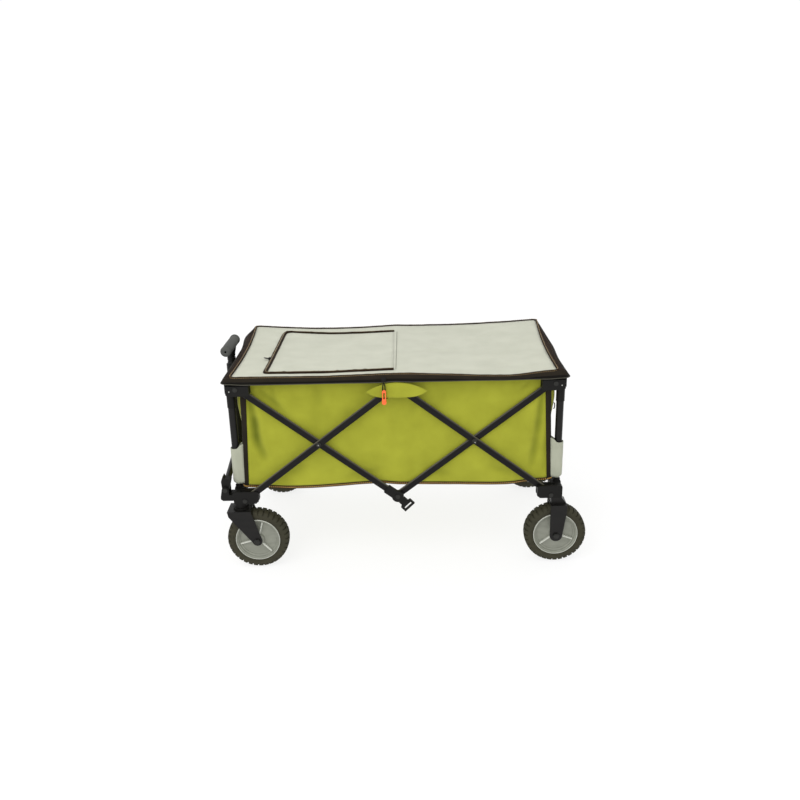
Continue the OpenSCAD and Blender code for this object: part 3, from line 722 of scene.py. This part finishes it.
def build_rim():
    def padding(i, j):
        x, y, out_x, out_y = rim_plan[j]
        low, high = rim_bottom(x, y), top_z(x, y)
        puff = 0.8 * wave(x, y, 0, 45, 2.2)
        section = ((-1.5, low), (0.1, low + 2), (0.9 + puff * 0.4, low + 8), (1.2 + puff, (low + high) / 2),
                   (0.8 + puff * 0.5, high - 6), (-0.8, high - 2), (-3.2, high - 0.6), (-6.5, high - 1),
                   (-8, high - 3.5), (-7.4, (low + high) / 2), (-6.6, low + 3), (-4, low - 0.2))
        offset, z = section[i]
        return rim_point(x, y, out_x, out_y, offset, z)
    band = grid("rim_padding", 12, len(rim_plan), padding, BLACK, wrap_rows=True, wrap_columns=True)
    finish_piece(band, "cover", "black_fabric", "rim_band", folds=True)

    # grey binding folded over the rim's upper edge
    def binding(i, j):
        x, y, out_x, out_y = rim_plan[j]
        low, high = rim_bottom(x, y), top_z(x, y)
        section = ((2.1, low + (high - low) * 0.52), (2.5, high - 8), (1.6, high - 4), (-0.2, high - 0.6),
                   (-3.2, high + 0.7), (-5.2, high + 0.5))
        offset, z = section[i]
        return rim_point(x, y, out_x, out_y, offset + 0.3 * wave(x, y, z, 18, 5), z)
    cover = thicken(grid("rim_binding", 6, len(rim_plan), binding, BINDING, wrap_columns=True), 1.0, -1)
    trim(cover)

    # a piping cord along the rim's lower edge; its grey is painted highlight on the black band
    line = [rim_point(x, y, out_x, out_y, 0.9, rim_bottom(x, y) + 1.2) for x, y, out_x, out_y in rim_plan]
    trim(rod("rim_piping", line, 1.3, PIPING_PAINTED_HIGHLIGHT, closed=True, sides=8))

    # zip tape between the pale lid and the rim, with two lumpy ridges and the teeth between them
    steps = 14

    def tape(i, j):
        x, y, out_x, out_y = rim_plan[j]
        lid_x, lid_y = lid_plan(x, y)
        outer = rim_point(x, y, out_x, out_y, -4.2, 588)
        w = i / (steps - 1)
        px = lid_x * (1 - w) + outer[0] * w - out_x * 2 * (1 - w)
        py = lid_y * (1 - w) + outer[1] * w - out_y * 2 * (1 - w)
        lump = 1 + 0.8 * wave(x, y, 3 * w, 11, 8)
        ridge = math.exp(-((w - 0.22) / 0.13) ** 2) + math.exp(-((w - 0.76) / 0.13) ** 2)
        height = 0.8 + 3 * ridge * lump * (1 if abs(out_x) > 0.3 else 0.6)
        return (px, py, top_z(px, py) + height)
    ribbon = thicken(grid("lid_zip_tape", steps, len(rim_plan), tape, ZIP_TAPE, wrap_columns=True), 1.0, -1)
    trim(ribbon)

    # the zip's coil along the lid's edge, and its teeth
    def on_edge(x, y, out_x, out_y, out, up):
        lid_x, lid_y = lid_plan(x, y)
        return (lid_x + out_x * out, lid_y + out_y * out, top_z(lid_x, lid_y) + up)
    coil = []
    for x, y, out_x, out_y in rim_plan:
        rise = (1.4 if out_y > 0.7 else 2.3) + 0.7 * wave(x, y, 9, 13, 12)
        coil.append(on_edge(x, y, out_x, out_y, 0.8 + wave(x, y, 0, 15, 12), rise))
    trim(rod("lid_zip_coil", coil, 2.2, ZIP_TAPE, closed=True, sides=8))
    teeth = []
    for x, y, out_x, out_y in rounded_path(RIM_X, RIM_Y, 16, 6.5):
        lengthwise = (-out_y * 1.3, out_x * 1.3, 0)
        place_out, rise = (3.2, 1.6) if out_y < -0.7 else (1.2, 4.2 if out_y < 0.7 else 3.3)
        centre = on_edge(x, y, out_x, out_y, place_out, rise)
        teeth.append((centre, lengthwise, (out_x * 1.1, out_y * 1.1, 0), (0, 0, 0.9)))
    trim(bars("lid_zip_teeth", teeth, TOOTH))


FAR_FRONT_R = 26
NEAR_FRONT_R = 12


def far_line(x):
    """The hatch's far edge, which runs slightly askew."""
    return 187 + 24 * clamp(-x / 333)


def hatch_round(x, y):
    """Bends a square net round the hatch's far front corner."""
    cx, cy = HATCH_FRONT + FAR_FRONT_R, far_line(HATCH_FRONT) - FAR_FRONT_R
    dx, dy = cx - x, y - cy
    if dx <= 0 or dy <= 0:
        return x, y
    reach, true = max(dx, dy), math.hypot(dx, dy)
    ease = 1 - smooth((reach - FAR_FRONT_R) / (1.5 * FAR_FRONT_R))
    factor = 1 + (reach / true - 1) * ease
    return cx - dx * factor, cy + dy * factor


def lid_wrinkle(x, y):
    """Low stretch marks that run from the corners and across the sag."""
    marks = ((-430, -240, -250, -120), (430, -240, 230, -60), (430, 240, 200, 90), (60, -250, 180, -140),
             (60, 230, 170, 60), (-420, 240, -250, 150), (20, 0, 200, -10))
    height = 0
    for ax, ay, bx, by in marks:
        height += crease(x, y, (ax, ay), (bx, by), 14, 1.3) - crease(x, y + 22, (ax, ay), (bx, by), 14, 0.9)
    return height


def lid_surface(x, y):
    x, y = hatch_round(x, y)
    return (x, y, top_z(x, y) + lid_wrinkle(x, y))


LID_NEAR, LID_FAR = -264, 262
X_STEPS = (9, 36, 44)
Y_STEPS = (5, 44, 7)


def lid_net(i, j):
    """A point of the net that covers the lid, with lines along the hatch's edges."""
    def between(k, steps, stops):
        for part, count in enumerate(steps):
            if k <= count or part == len(steps) - 1:
                return stops[part] + (stops[part + 1] - stops[part]) * k / count
            k -= count
    guess = between(j, X_STEPS, (-440, HATCH_FRONT, HINGE_X, 440))
    y = between(i, Y_STEPS, (LID_NEAR, HATCH_NEAR + 2, far_line(guess), LID_FAR))
    x = between(j, X_STEPS, (-front_edge(y), HATCH_FRONT, HINGE_X, rear_edge(y)))
    return lid_surface(x, y)


def in_hatch(i, j):
    return X_STEPS[0] <= j < X_STEPS[0] + X_STEPS[1] and Y_STEPS[0] <= i < Y_STEPS[0] + Y_STEPS[1]


def hatch_outline():
    """The hatch's open edge from the hinge round the front and back, as (x, y, out x, out y)."""
    path = []
    step = 4
    low = HATCH_NEAR + 2
    count = round((HINGE_X - HATCH_FRONT - NEAR_FRONT_R) / step)
    for i in range(count):
        path.append((HINGE_X - (HINGE_X - HATCH_FRONT - NEAR_FRONT_R) * i / count, low, 0, -1))
    for i in range(5):
        turn = math.radians(-90 - 90 * i / 4)
        c, s = math.cos(turn), math.sin(turn)
        path.append((HATCH_FRONT + NEAR_FRONT_R * (1 + c), low + NEAR_FRONT_R * (1 + s), c, s))
    top = far_line(HATCH_FRONT)
    start = path[-1][1]
    count = round((top - FAR_FRONT_R - start) / step)
    for i in range(1, count):
        path.append((HATCH_FRONT, start + (top - FAR_FRONT_R - start) * i / count, -1, 0))
    for i in range(8):
        turn = math.radians(180 - 90 * i / 7)
        c, s = math.cos(turn), math.sin(turn)
        path.append((HATCH_FRONT + FAR_FRONT_R * (1 + c), top - FAR_FRONT_R * (1 - s), c, s))
    start = path[-1][0]
    count = round((HINGE_X - start) / step)
    for i in range(1, count + 1):
        x = start + (HINGE_X - start) * i / count
        path.append((x, far_line(x), 0, 1))
    return path


def zip_half(name, body, outward):
    """Half of the hatch's zip: a raised tape on one side of the slit, with its row of teeth."""
    outline = hatch_outline()
    path = []
    for x, y, out_x, out_y in outline:
        path.append((x, y, top_z(x, y) + lid_wrinkle(x, y) + 0.3 + 0.5 * wave(x, y, 0, 25, 1)))
    sides = [(out_x * outward, out_y * outward, 0) for x, y, out_x, out_y in outline]
    ups = [(0, 0, 1)] * len(path)
    tape = ((0.2, 0.3), (0.3, 3.6), (1.2, 4.2), (2.6, 4.0), (3.8, 3.0), (4.6, 1.5),
            (6.4, 0.9), (6.6, 0.1), (3, -0.4))

    def lumpy(j):
        swell = 1 + 0.6 * wave(path[j][0], path[j][1], 0, 11, 3 + outward)
        return [(a * (0.85 + 0.15 * swell), b * swell) for a, b in tape]
    trim(sweep(name, path, sides, ups, lumpy, ZIP_TAPE), body)
    # a raised coil along the tape's top, whose paler colour is painted sheen
    painted_sheen_crown = [(a + 1.5, b + 4.1) for a, b in circle(1.1, 8, 0.7)]
    trim(sweep(name + "_ridge", path, sides, ups, painted_sheen_crown, ZIP_PAINTED_SHEEN), body)
    teeth = []
    for k in range(0, len(path) - 1):
        p = Vector(path[k]).lerp(Vector(path[k + 1]), 0.25 if outward > 0 else 0.75)
        side = Vector(sides[k])
        along = Vector((-side.y, side.x, 0))
        teeth.append((tuple(p + side * 0.3 + Vector((0, 0, 4.2))), along * 0.9, side * 1.1, (0, 0, 0.6)))
    trim(bars(name + "_teeth", teeth, TOOTH), body)


def build_lid():
    rows, columns = sum(Y_STEPS) + 1, sum(X_STEPS) + 1
    lid = thicken(grid("lid_cloth", rows, columns, lid_net, LIGHT, keep=lambda i, j: not in_hatch(i, j)), 1.6)
    finish_piece(lid, "cover", "grey_fabric", "lid_panel", folds=True)

    hatch = thicken(grid("hatch_cloth", rows, columns, lid_net, LIGHT, keep=in_hatch), 1.6)
    finish_piece(hatch, "hatch", "grey_fabric", "hatch_panel", folds=True)

    zip_half("hatch_zip_outer", "cover", 1)
    zip_half("hatch_zip_inner", "hatch", -1)

    # the hinge seam: a stitched line whose darker grey is partly painted shade along the seam
    seam = [(HINGE_X + 6 + 3 * (y + 184) / 370, y, top_z(HINGE_X + 8, y) + 0.5) for y in range(-220, 190, 10)]
    finish_piece(rod("hinge_seam", seam, 0.8, STITCH_AND_SEAM_SHADE, sides=6), "cover", "grey_fabric", folds=True)


def build_sliders():
    # slider and fork-shaped tab of the hatch's zip
    x, y = HATCH_FRONT - 9, -92
    z = top_z(x, y)
    body = bars("hatch_slider", [((x + 4, y, z + 4.2), (4.5, 0, 0), (0, 6, 0), (0, 0, 2.2)),
                                 ((x + 4, y, z + 6.8), (1.6, 0, 0), (0, 3.6, 0), (0, 0, 1.2))], PLASTIC, 0.9)
    finish_piece(body, "cover", "black_plastic", "zip_sliders", folds=True)
    outline = [(-5.5, 3), (-5.5, -17), (-3.5, -19), (3.5, -19), (5.5, -17), (5.5, 3)]
    window = [(-2.4, -2), (2.4, -2), (2.4, -14), (-2.4, -14)]

    def turned(a, b, c):
        return (x + 2 + 0.7 * b - 0.5 * a, y + 0.3 * b + 0.85 * a, z + 4 + c - 0.2 * b)
    tab = cutout("hatch_slider_tab", outline, [window], 2.2, turned, PLASTIC)
    finish_piece(tab, "cover", "black_plastic", folds=True)

    # slider of the rim's zip, at the near side, above the orange pull
    x = centre_of("zip_pull")[0]
    blocks = [((x, -RIM_Y - 2.4, 571), (6.5, 0, 0), (0, 2, 0), (0, 0, 6.5)),
              ((x, -RIM_Y - 4.4, 567), (2, 0, 0), (0, 1.2, 0), (0, 0, 4))]
    finish_piece(bars("rim_slider", blocks, PLASTIC, 0.9), "cover", "black_plastic")


def arc(cx, cy, radius, start, end, count=8):
    turns = [math.radians(start + (end - start) * i / count) for i in range(count + 1)]
    return [(cx + radius * math.cos(t), cy + radius * math.sin(t)) for t in turns]


def build_zip_pull():
    x, y, _ = centre_of("zip_pull")
    foot = node_box("zip_pull")[0].z + 8
    outline = arc(0, foot + 6.6, 6.6, 180, 360, 12) + [(5.6, foot + 13), (5.2, 524)] \
        + arc(0, 536, 5.6, 0, 180, 10) + [(-5.2, 524), (-5.6, foot + 13)]
    slot = arc(0, 531, 2.2, 0, 180, 6) + arc(0, 517, 2.2, 180, 360, 6)
    body = cutout("pull_body", outline, [slot], 5.4, lambda a, b, c: (x + a, y + c, b), ORANGE, 1.2)
    finish_piece(body, "pull", "orange_plastic", "zip_pull")
    ridges = [((x, y - 2.9, foot + 4 + 3.4 * k), (4.4, 0, 0), (0, 0.5, 0), (0, 0, 0.7)) for k in range(3)]
    finish_piece(bars("pull_ridges", ridges, ORANGE, 0.4), "pull", "orange_plastic")
    loop = [(x - 2.4, y, 534), (x - 3.4, y - 0.6, 542), (x - 3.0, y - 0.8, 552), (x - 1.4, y - 0.6, 559),
            (x, y, 561.2), (x + 1.4, y + 0.4, 559), (x + 3.0, y + 0.6, 552), (x + 3.4, y + 0.4, 542),
            (x + 2.4, y, 534), (x, y, 531.5)]
    finish_piece(rod("pull_loop", loop, 1.5, CORD, closed=True, sides=8), "pull", "black_cord", "pull_cord")


def build_flaps():
    """Lens-shaped fabric flaps over the upper middle joints, with a light hem."""
    middle, half = 3, 83
    for side, sign in SIDES:
        rows, columns = 12, 40

        def outline(j):
            t = -1 + 2 * j / (columns - 1)
            x = middle + half * t
            return x, 517 + 17 * t ** 4, 534.5 + 26 * (1 - t * t)

        def point(i, j, s=sign):
            x, low, high = outline(j)
            w = i / (rows - 1)
            z = low + (high - low) * w
            t = (x - middle) / half
            belly = 2.2 * math.sin(math.pi * (1 - 0.8 * w)) * (1 - t * t) if w > 0.2 else 1.3 * (1 - t * t)
            ripple = 0.8 * wave(x, s * 50, z, 30, 11)
            return (x, s * (264.6 + belly + ripple), z)
        flap = thicken(grid(f"mid_flap_{side}", rows, columns, point, LIME), 1.2, sign)
        finish_piece(flap, "cover", "lime_fabric")
        if sign < 0:
            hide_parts("mid_flaps")
        hem = [(x, sign * (265.6 + 1.2 * (1 - ((x - middle) / half) ** 2)), low + 0.6)
               for x, low, high in (outline(j) for j in range(columns))]
        finish_piece(rod(f"flap_hem_{side}", hem, 1.0, LIME, sides=6), "cover", "lime_fabric")


def build_sleeves():
    """Cloth sleeves round the posts, sewn to the tub's corner bindings."""
    radius = 13.4
    plan = [(434, POST_Y + 9), (443, POST_Y + 11.4)]
    plan += [(POST_X + radius * math.sin(math.radians(a)), POST_Y + radius * math.cos(math.radians(a)))
             for a in range(-28, 200, 14)]
    plan += [(446, POST_Y - 12.6), (436, POST_Y - 13)]
    columns = len(plan)
    rows = 20
    for end, sign_x in ENDS:
        for side, sign_y in SIDES:
            def point(i, j, sx=sign_x, sy=sign_y):
                x, y = plan[j]
                near_tub = smooth((454 - x) / 16)
                round_off = 6 * smooth((x - POST_X) / 14)
                bottom = 253 + 3 * near_tub + round_off + 0.8 * wave(x * sx, y * sy, 0, 20, 4)
                top = 361 + 14 * near_tub
                z = bottom + (top - bottom) * i / (rows - 1)
                swell = 0.9 * wave(x * sx, y * sy, z, 26, 2.5) - 1.4 * smooth((262 - z) / 8)
                away = Vector((x - POST_X, y - POST_Y)).normalized() * swell * (1 - near_tub)
                return (sx * (x + away.x), sy * (y + away.y), z)
            piece = thicken(grid(f"sleeve_{end}_{side}", rows, columns, point, SLEEVE), 1.2, sign_x * sign_y)
            finish_piece(piece, f"{end}_top", "grey_fabric")
            if side == "near":
                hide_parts(f"{end}_post_sleeves")
            stitch = [point(rows - 2, j) for j in range(columns)]
            stitch = [(x + sign_x * 0.2, y + sign_y * 0.3, z) for x, y, z in stitch]
            thread = rod(f"sleeve_stitch_{end}_{side}", stitch, 0.45, STITCH_AND_SEAM_SHADE, sides=6)
            finish_piece(thread, f"{end}_top", "grey_fabric")


# ---- wheels ----

TREAD_BLOCKS = 34


def build_tyre(name):
    low, high = node_box(name)
    cx, cy, cz = centre_of(name)
    outer = (high.x - low.x) / 2
    half = [(63.2, 15), (64, 18.5), (68, 20.6), (70, 20.4), (71, 21.4), (77, 21.8), (78, 21.2),
            (81, 21.2), (83, 20.4), (outer - 3.5, 18.4), (outer - 1.2, 15), (outer - 0.4, 9),
            (outer, 2.2), (outer - 2.4, 1.2)]
    profile = [(r, -y) for r, y in half] + [(r, y) for r, y in reversed(half)]
    fractions = (0.0, 0.04, 0.24, 0.28, 0.5, 0.54, 0.74, 0.78)
    angles = [(block + f) * 2 * math.pi / TREAD_BLOCKS for block in range(TREAD_BLOCKS) for f in fractions]

    def point(i, j):
        radius, along = profile[i]
        fraction = fractions[j % len(fractions)]
        groove = (0.04 <= fraction <= 0.24) if along < 0 else (0.54 <= fraction <= 0.74)
        if groove and radius > 79:
            radius -= 3.4 * smooth((radius - 79) / 4)
            along *= 1 - 0.05 * smooth((radius - 74) / 6)
        return (cx + radius * math.cos(angles[j]), cy + along, cz + radius * math.sin(angles[j]))
    tread = name.replace("tyre", "tread")
    tyre = grid(tread, len(profile), len(angles), point, RUBBER, wrap_rows=True, wrap_columns=True)
    return sharpen(tyre, 32)


def build_wheel(name, rib_angles):
    tyre_node = name.replace("wheel", "tyre")
    hub_node = name.replace("wheel", "hub")
    finish_piece(build_tyre(tyre_node), name, "tyre_rubber", tyre_node)
    centre = centre_of(hub_node)
    half = [(63, 18.5), (62.4, 20.2), (60.6, 20.4), (59.8, 18.6), (57.4, 17.4), (56.2, 13.4),
            (54.6, 12.2), (52.6, 11.8), (51.4, 9.6), (46, 8.8), (30, 9.8), (21, 11),
            (18.6, 13), (17.4, 21), (16, 22), (8.4, 22.2), (7.8, 20), (5.3, 20)]
    profile = [(r, y) for r, y in half] + [(r, -y) for r, y in reversed(half)]
    hub = lathe(name.replace("wheel", "rim_disc"), centre, profile, HUB, closed=True)
    finish_piece(hub, name, "hub_plastic", hub_node)
    for sign, side in ((-1, "out"), (1, "in")):
        # the lip ring and the ribs below take the paler hub colour, a painted highlight
        lip = [(64, 18.6), (63.9, 20.6), (63.2, 21.4), (62.4, 21), (62.1, 19.4)]
        edge = [(r, sign * y) for r, y in lip]
        ring = lathe(f"{name}_lip_{side}", centre, edge, HUB_PAINTED_HIGHLIGHT, closed=True)
        finish_piece(ring, name, "hub_plastic")
        ribs = []
        for angle in rib_angles:
            turn = math.radians(angle)
            c, s = math.cos(turn), math.sin(turn)
            for r, half_w, top in ((23, 2.6, 16.4), (35.5, 2.4, 16), (48.5, 2.2, 15.6)):
                middle = (centre[0] + r * c, centre[1] + sign * (top - 4), centre[2] + r * s)
                ribs.append((middle, (6.8 * c, 0, 6.8 * s), (-half_w * s, 0, half_w * c), (0, 4, 0)))
        finish_piece(bars(f"{name}_ribs_{side}", ribs, HUB_PAINTED_HIGHLIGHT, 1.2), name, "hub_plastic")


def build_wheels():
    """The wheels stand at two different turns, so their ribs do not line up."""
    one_turn, other_turn = (-48, 74, 196), (218, 338, 98)
    build_wheel("front_wheel_near", one_turn)
    build_wheel("front_wheel_far", other_turn)
    build_wheel("rear_wheel_near", other_turn)
    build_wheel("rear_wheel_far", one_turn)


# ---- grip and small fittings ----

def build_grip():
    low, high = node_box("handle_grip")
    x = (low.x + high.x) / 2 - MIDDLE
    z = high.z - (high.x - low.x) / 2
    half = high.y
    radius = (high.x - low.x) / 2
    side = [(3, half - 0.6), (8, half - 0.2), (12, half - 0.5), (radius - 1.2, half - 2.2),
            (radius, half - 5), (radius - 0.2, half - 8), (radius - 2.4, half - 9.4),
            (radius - 2.4, half - 10.8), (radius - 0.2, half - 12), (radius - 0.2, half - 14.4),
            (radius - 1.6, half - 16), (radius - 1.1, half - 22), (radius - 0.6, half - 34)]
    profile = [(r, -y) for r, y in side] + [(radius - 0.4, 0)] + [(r, y) for r, y in reversed(side)]
    grip = lathe("grip_sleeve", (x, 0, z), profile, GRIP, 64)
    finish_piece(grip, "handle_top", "grip_rubber", "handle_grip")
    neck = [(11.9, low.z), (12.4, low.z + 1.5), (12.4, low.z + 9), (11.2, low.z + 10.5),
            (11.2, low.z + 13), (12.2, low.z + 15), (12.6, z - 22), (15, z - 13), (16.5, z - 6), (10, z - 3)]
    finish_piece(lathe("grip_neck", (x, 0, 0), neck, PLASTIC, 48, axis="z"), "handle_top", "grip_rubber")


def dome(name, x, y, z, radius, out, look, body):
    """A low round rivet or screw head on a face that looks along Y."""
    sign = 1 if y > 0 else -1
    profile = [(radius, -0.4), (radius, out * 0.45), (radius * 0.8, out * 0.85), (radius * 0.45, out),
               (0.05, out * 1.02)]
    piece = lathe(name, (x, y, z), [(r, sign * a) for r, a in profile], look, 24)
    return finish_piece(piece, body, "pin_steel")


def build_fittings():
    """Bright screw heads on the brackets and the small peened ends of the crossing rivets."""
    low_z, high_z = 212, 546
    span = 436
    for side, sign_y in SIDES:
        for end, sign_x in ENDS:
            face = sign_y * node_box(f"{end}_upper_brackets")[1].y
            dome(f"bracket_screw_{end}_{side}", sign_x * 452.5, face, 541, 1.9, 1.2, BRIGHT, f"{end}_top")
            head = sign_y * node_box("pins_b_front" if end == "front" else "pins_a_rear")[1].y
            dome(f"cross_rivet_{end}_{side}", sign_x * span / 2, head, (low_z + high_z) / 2, 1.6, 0.8, BRIGHT,
                 "bars_b_front" if end == "front" else "bars_a_rear")


def build_floor_boards():
    """Four boards in a cloth cover; the cover swells a little over each board."""
    low, high = node_box("floor_board")
    pitch = (high.x - low.x + 4) / 4
    for k in range(4):
        cx = (k - 1.5) * pitch
        half_x, half_y = (pitch - 4) / 2, high.y
        rows, columns = 16, 30

        def pillow(i, j):
            layer, row = divmod(i, rows)
            a, b = -1 + 2 * row / (rows - 1), -1 + 2 * j / (columns - 1)
            edge = (1 - a ** 8) * (1 - b ** 12)
            mid = (low.z + high.z) / 2
            half = (high.z - low.z) / 2
            z = mid + (1 if layer else -1) * (0.6 + (half - 0.4) * edge ** 0.5)
            ripple = 0.5 * wave(a * 90, b * 200, k * 50, 40) if layer else 0
            return (cx + a * half_x, b * half_y, z + ripple)
        board = grid(f"floor_board_{k + 1}", 2 * rows, columns, pillow, BLACK, wrap_rows=True)
        trim(board)
        if k == 0:
            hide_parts("floor_board")


build_tub()
build_rim()
build_lid()
build_sliders()
build_zip_pull()
build_flaps()
build_sleeves()
build_wheels()
build_grip()
build_fittings()
build_floor_boards()

# ---- stage, light and camera ----


def build_stage():
    white = bpy.data.materials.new("backdrop_white")
    white.use_nodes = True
    sockets = white.node_tree.nodes["Principled BSDF"].inputs
    sockets["Base Color"].default_value = (0.2, 0.2, 0.2, 1)
    sockets["Roughness"].default_value = 0.9
    sockets["Specular IOR Level"].default_value = 0.1
    sockets["Emission Color"].default_value = (1, 1, 1, 1)
    sockets["Emission Strength"].default_value = 0.8
    half = 9000
    corners = [(half * x, half * y, -0.5) for x, y in ((-1, -1), (1, -1), (1, 1), (-1, 1))]
    floor = add_mesh("floor", corners, [(0, 1, 2, 3)], white)
    world = bpy.data.worlds.new("studio")
    scene.world = world
    world.use_nodes = True
    world.node_tree.nodes["Background"].inputs["Color"].default_value = (1, 1, 1, 1)
    world.node_tree.nodes["Background"].inputs["Strength"].default_value = 1.02
    lamps = (("key", 34, 2.2, (-1.4, -2.2, 2.8)), ("front", 20, 1.6, (-0.4, -2.8, 1.3)))
    for name, power, size, spot in lamps:
        lamp = bpy.data.lights.new(name, "AREA")
        lamp.energy = power
        lamp.size = size
        holder = bpy.data.objects.new(name, lamp)
        holder.location = spot
        holder.rotation_euler = (Vector((0, 0, 0.35)) - Vector(spot)).to_track_quat("-Z", "Y").to_euler()
        scene.collection.objects.link(holder)


def build_camera():
    eye = (0.00368, -2.33158, 1.23285)
    pitch, roll, yaw = 0.3368, -0.0216, -0.0035
    forward = Vector((math.sin(yaw) * math.cos(pitch), math.cos(yaw) * math.cos(pitch), -math.sin(pitch)))
    right = Vector((math.cos(yaw), -math.sin(yaw), 0))
    up = right.cross(forward)
    right, up = (math.cos(roll) * right + math.sin(roll) * up, -math.sin(roll) * right + math.cos(roll) * up)
    lens = bpy.data.cameras.new("camera")
    lens.lens = 36.178
    lens.sensor_width = 36
    camera = bpy.data.objects.new("camera", lens)
    camera.matrix_world = Matrix((
        (right.x, up.x, -forward.x, eye[0]),
        (right.y, up.y, -forward.y, eye[1]),
        (right.z, up.z, -forward.z, eye[2]),
        (0, 0, 0, 1)))
    scene.collection.objects.link(camera)
    scene.camera = camera


build_stage()
build_camera()
scene.view_settings.view_transform = "Standard"
